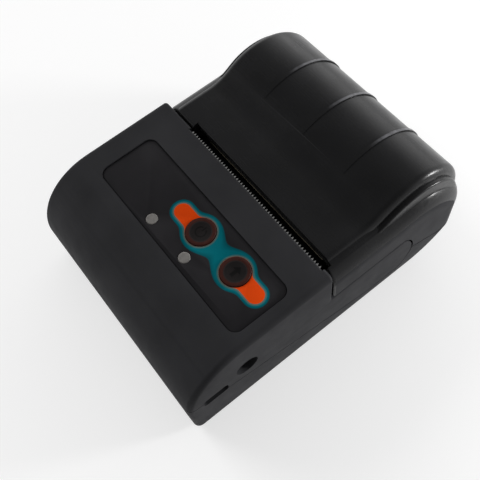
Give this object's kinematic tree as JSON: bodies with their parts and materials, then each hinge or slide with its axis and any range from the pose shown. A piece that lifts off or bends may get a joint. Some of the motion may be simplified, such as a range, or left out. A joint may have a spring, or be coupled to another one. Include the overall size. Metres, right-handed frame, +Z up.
{
  "type": "portable receipt printer",
  "caption": "Small portable receipt printer with a rolled front, a sloping control panel with round buttons, a toothed paper slot and a hinged cover with a domed roll bay.",
  "frame": {"origin": "middle of the footprint, on the surface that the printer stands on", "axes": "+Y to the rear, where the cover is hinged; +X to the side with the sockets, which is on the right for someone facing the panel; +Z up"},
  "size_m": [0.077, 0.103, 0.0426],
  "materials": {
    "casing_plastic": "fine-textured charcoal moulding",
    "cover_plastic": "half-gloss black moulding",
    "panel_film": "satin printed film",
    "button_plastic": "satin",
    "milky_plastic": "milky, satin",
    "inner_plastic": "moulded",
    "pale_plastic": "natural acetal",
    "circuit_board": "green solder mask",
    "ribbon_film": "amber film",
    "spring_steel": "plain",
    "steel": "plated",
    "motor_steel": "zinc plated",
    "brass": "turned",
    "roller_rubber": "ground",
    "aluminium": "satin",
    "ceramic": "glazed, stands in for ceramic",
    "battery_wrap": "dark sleeve",
    "foot_rubber": "matte"
  },
  "bodies": {
    "printer": {"base_shell": "casing_plastic", "top_housing": "casing_plastic", "control_overlay": "panel_film", "power_switch": "inner_plastic", "feed_switch": "inner_plastic", "power_led_lens": "milky_plastic", "status_led_lens": "milky_plastic", "panel_leds": "milky_plastic", "key_board": "circuit_board", "tear_blade": "spring_steel", "hinge_pins": "steel", "gear_axle": "steel", "drive_motor": "motor_steel", "mech_chassis": "inner_plastic", "head_pivot_pin": "steel", "head_springs": "spring_steel", "head_ribbon": "ribbon_film", "ribbon_connector": "pale_plastic", "paper_well": "inner_plastic", "paper_sensor": "inner_plastic", "main_board": "circuit_board", "board_chips": "inner_plastic", "radio_module": "circuit_board", "dc_jack": "inner_plastic", "usb_socket": "steel", "battery_pack": "battery_wrap", "battery_contacts": "spring_steel", "case_screws": "steel", "mech_screws": "steel", "board_screws": "steel", "rubber_feet": "foot_rubber"},
    "cover": {"paper_cover": "cover_plastic", "platen_holder": "inner_plastic", "platen_bushes": "pale_plastic", "holder_screws": "steel"},
    "platen": {"platen_shaft": "steel", "platen_roller": "roller_rubber", "platen_gear": "pale_plastic"},
    "reduction_gear": {"compound_gear": "pale_plastic"},
    "motor_rotor": {"motor_shaft": "steel", "motor_pinion": "brass"},
    "thermal_head": {"head_heatsink": "aluminium", "print_head": "ceramic"},
    "power_key": {"power_button": "button_plastic", "power_switch_plunger": "inner_plastic"},
    "feed_key": {"feed_button": "button_plastic", "feed_switch_plunger": "inner_plastic"},
    "battery_hatch": {"battery_door": "casing_plastic"}
  },
  "joints": [
    {"name": "cover_hinge", "type": "hinge", "parent": "printer", "child": "cover", "pos_m": [0, 0.04475, 0.0146], "axis": [-1, 0, 0], "range_deg": [0, 85]},
    {"name": "platen_spin", "type": "hinge", "parent": "cover", "child": "platen", "pos_m": [0.005, 0.0066, 0.029], "axis": [1, 0, 0], "continuous": true},
    {"name": "reduction_gear_spin", "type": "hinge", "parent": "printer", "child": "reduction_gear", "pos_m": [-0.03, 0.00342, 0.02059], "axis": [1, 0, 0], "continuous": true},
    {"name": "motor_spin", "type": "hinge", "parent": "printer", "child": "motor_rotor", "pos_m": [-0.03, -0.00257, 0.0102], "axis": [1, 0, 0], "continuous": true},
    {"name": "head_tilt", "type": "hinge", "parent": "printer", "child": "thermal_head", "pos_m": [0.005, 0.0004, 0.02], "axis": [1, 0, 0], "range_deg": [0, 2.5], "stiffness_Nm_per_rad": 0.02, "springref_deg": -5.73},
    {"name": "power_key_press", "type": "slide", "parent": "printer", "child": "power_key", "axis": [0, 0, -1], "range_m": [0, 0.0005], "stiffness_N_per_m": 100, "springref_m": -0.0005},
    {"name": "feed_key_press", "type": "slide", "parent": "printer", "child": "feed_key", "axis": [0, 0, -1], "range_m": [0, 0.0005], "stiffness_N_per_m": 100, "springref_m": -0.0005},
    {"name": "battery_hatch_slide", "type": "slide", "parent": "printer", "child": "battery_hatch", "axis": [0, -1, 0], "range_m": [0, 0.039]}
  ],
  "couplings": [
    {"joint": "reduction_gear_spin", "follows": "platen_spin", "ratio": -1.25},
    {"joint": "motor_spin", "follows": "platen_spin", "ratio": 3.75}
  ]
}
